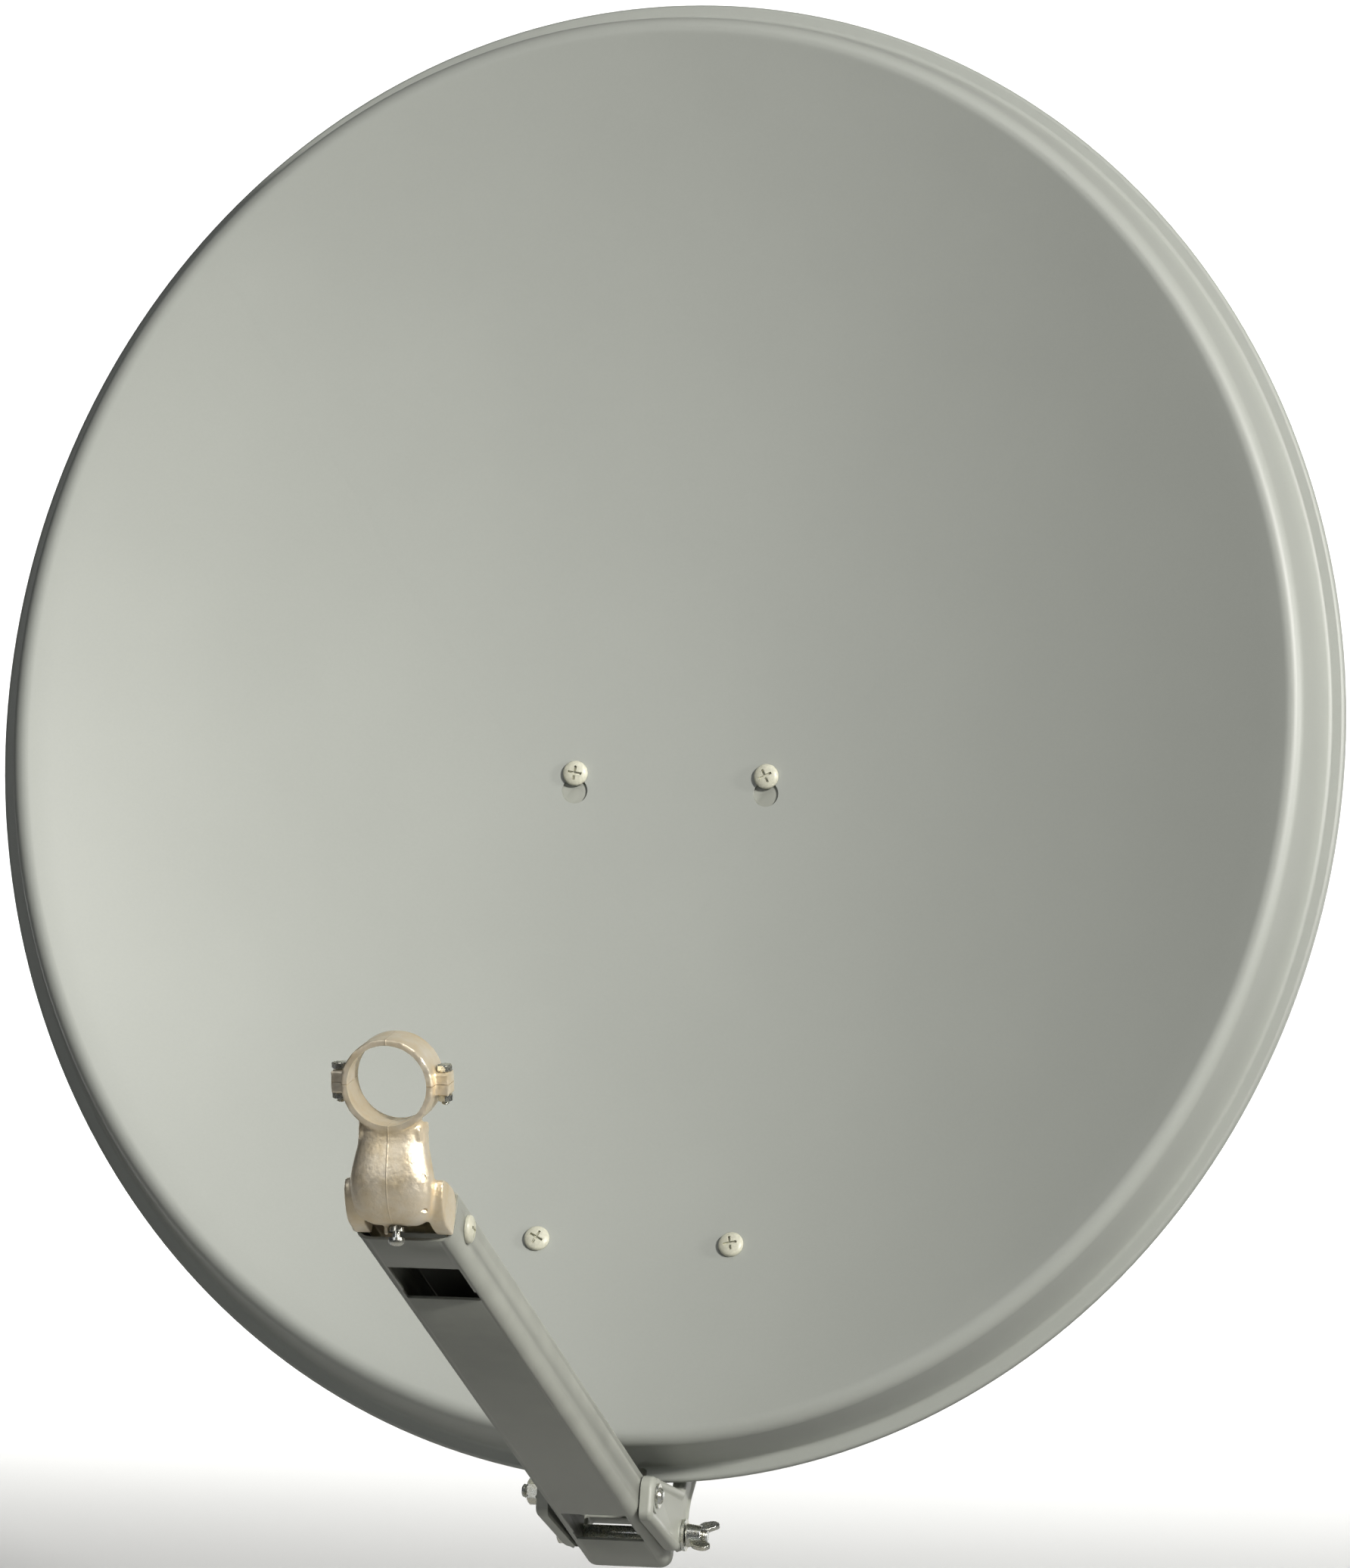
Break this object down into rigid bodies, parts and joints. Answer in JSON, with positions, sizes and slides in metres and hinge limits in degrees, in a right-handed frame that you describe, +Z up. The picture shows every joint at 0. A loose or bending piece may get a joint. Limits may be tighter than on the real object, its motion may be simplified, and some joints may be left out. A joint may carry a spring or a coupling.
{
  "type": "offset satellite dish",
  "caption": "Tilted oval offset dish with a turned-back rim, folding feed arm with a split-ring holder, pressed rear frame, and an elevation head that clamps to a mast.",
  "frame": {"origin": "on the mast's axis, at the height of the elevation pivot", "axes": "+Z up along the mast, -Y the way the dish looks, +X to the right of someone facing the dish's bowl"},
  "size_m": [0.78, 0.8281, 0.8798],
  "materials": {
    "reflector_paint": "satin",
    "frame_paint": "satin",
    "arm_paint": "satin",
    "screw_paint": "satin",
    "cast_aluminium": "satin",
    "zinc_plate": "satin"
  },
  "bodies": {
    "mast_clamp": {"mast_head": "frame_paint", "mast_bolt_left": "zinc_plate", "mast_bolt_right": "zinc_plate", "elevation_pivot_bolt": "zinc_plate", "elevation_pivot_nut": "zinc_plate"},
    "jaw": {"mast_jaw": "frame_paint", "mast_washer_left": "zinc_plate", "mast_washer_right": "zinc_plate", "mast_nut_left": "zinc_plate", "mast_nut_right": "zinc_plate"},
    "dish": {"reflector": "reflector_paint", "back_frame": "frame_paint", "reflector_screw_upper_left": "screw_paint", "reflector_screw_upper_right": "screw_paint", "reflector_screw_lower_left": "screw_paint", "reflector_screw_lower_right": "screw_paint", "reflector_nut_upper_left": "zinc_plate", "reflector_nut_upper_right": "zinc_plate", "reflector_nut_lower_left": "zinc_plate", "reflector_nut_lower_right": "zinc_plate", "arm_bracket": "frame_paint", "bracket_bolt_lower": "zinc_plate", "bracket_nut_lower": "zinc_plate", "bracket_bolt_upper": "zinc_plate", "bracket_nut_upper": "zinc_plate", "arm_pivot_bolt": "zinc_plate", "arm_pivot_nut": "zinc_plate", "arm_lock_bolt": "zinc_plate", "arm_lock_washer": "zinc_plate", "elevation_lock_bolt_left": "zinc_plate", "elevation_lock_washer_left": "zinc_plate", "elevation_lock_nut_left": "zinc_plate", "elevation_lock_bolt_right": "zinc_plate", "elevation_lock_washer_right": "zinc_plate", "elevation_lock_nut_right": "zinc_plate"},
    "arm": {"feed_arm": "arm_paint", "lnb_holder": "cast_aluminium", "holder_side_screw": "screw_paint", "holder_side_nut": "zinc_plate", "foot_washer": "zinc_plate", "foot_screw": "zinc_plate", "clamp_nut_left": "zinc_plate", "clamp_nut_right": "zinc_plate"},
    "cap": {"lnb_clamp_cap": "cast_aluminium", "clamp_screw_left": "zinc_plate", "clamp_screw_right": "zinc_plate"},
    "wing_nut": {"arm_wing_nut": "zinc_plate"}
  },
  "joints": [
    {"name": "elevation", "type": "hinge", "parent": "mast_clamp", "child": "dish", "pos_m": [0, -0.095, 0], "axis": [-1, 0, 0], "range_deg": [-22, 13]},
    {"name": "arm_fold", "type": "hinge", "parent": "dish", "child": "arm", "pos_m": [0, -0.32289, -0.28238], "axis": [-1, 0, 0], "range_deg": [0, 74]},
    {"name": "clamp_slacken", "type": "slide", "parent": "arm", "child": "cap", "axis": [0, -0.0958, 0.9954], "range_m": [0, 0.004]},
    {"name": "wing_nut_turn", "type": "hinge", "parent": "dish", "child": "wing_nut", "pos_m": [0.0352, -0.25723, -0.3154], "axis": [1, 0, 0], "continuous": true},
    {"name": "jaw_slacken", "type": "slide", "parent": "mast_clamp", "child": "jaw", "axis": [0, 1, 0], "range_m": [0, 0.006]}
  ]
}
